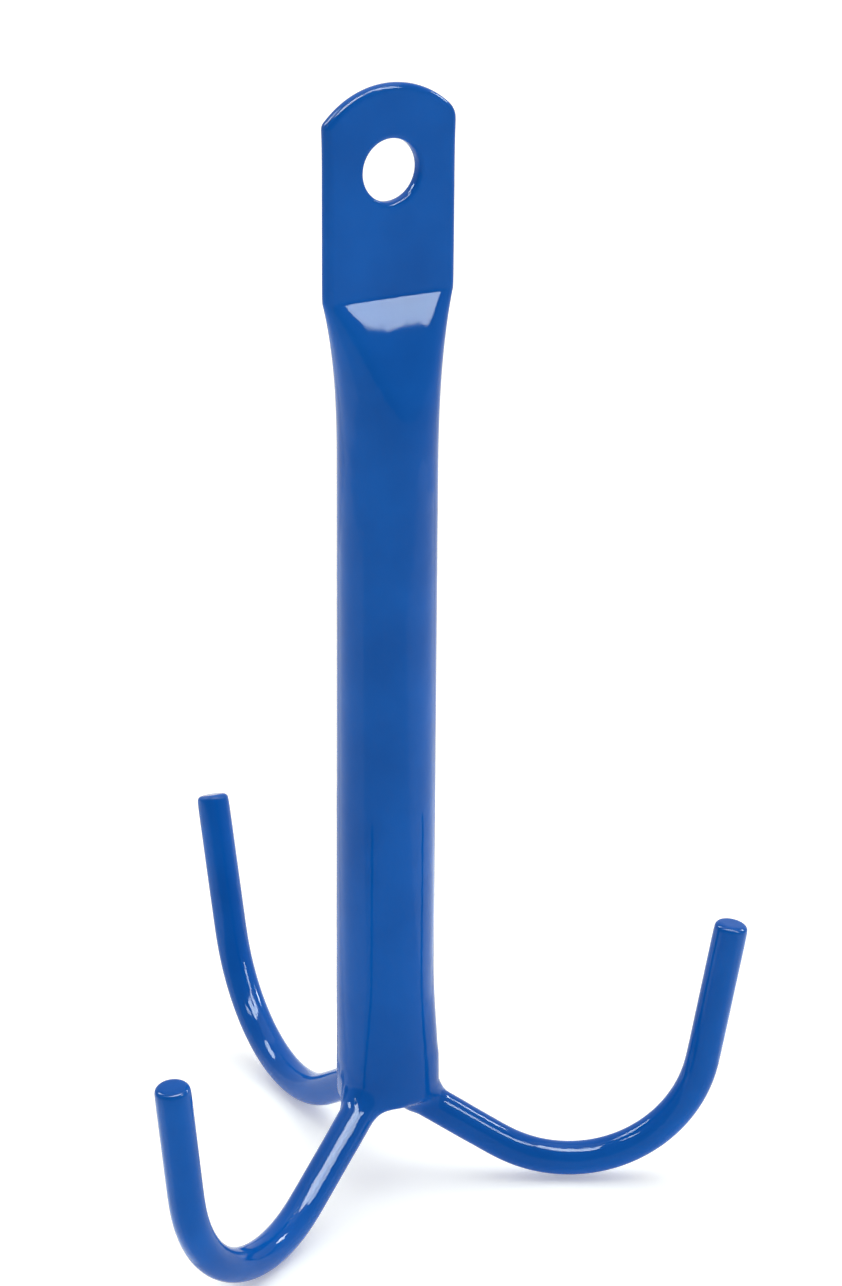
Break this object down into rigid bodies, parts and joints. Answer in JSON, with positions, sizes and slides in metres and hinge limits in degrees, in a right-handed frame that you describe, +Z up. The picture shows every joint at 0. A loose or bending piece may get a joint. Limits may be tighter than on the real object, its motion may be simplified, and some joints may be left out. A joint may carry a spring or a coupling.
{
  "type": "tack cleaning hook",
  "caption": "Hanging bridle hook: flattened tube head with a round hole, round stem, and bent rod hooks spread at the foot.",
  "frame": {"origin": "centre of the hanging hole, halfway through the flat head", "axes": "+Y along the hanging hole, -Y is the front; +Z up along the stem, away from the hooks; +X to the right seen from the front"},
  "size_m": [0.1843, 0.1746, 0.31],
  "materials": {
    "coating": "glossy deep blue dip coating",
    "steel": "mill finish, hidden under the coating",
    "weld_metal": "as welded, hidden under the coating"
  },
  "bodies": {
    "root": {"column_tube": "steel", "hook_rod_back": "steel", "hook_rod_left": "steel", "hook_rod_right": "steel", "weld_back": "weld_metal", "weld_left": "weld_metal", "weld_right": "weld_metal", "weld_plug": "weld_metal", "coating_head": "coating", "coating_neck": "coating", "coating_column": "coating", "coating_base": "coating", "coating_hook_back": "coating", "coating_hook_left": "coating", "coating_hook_right": "coating"}
  },
  "joints": []
}
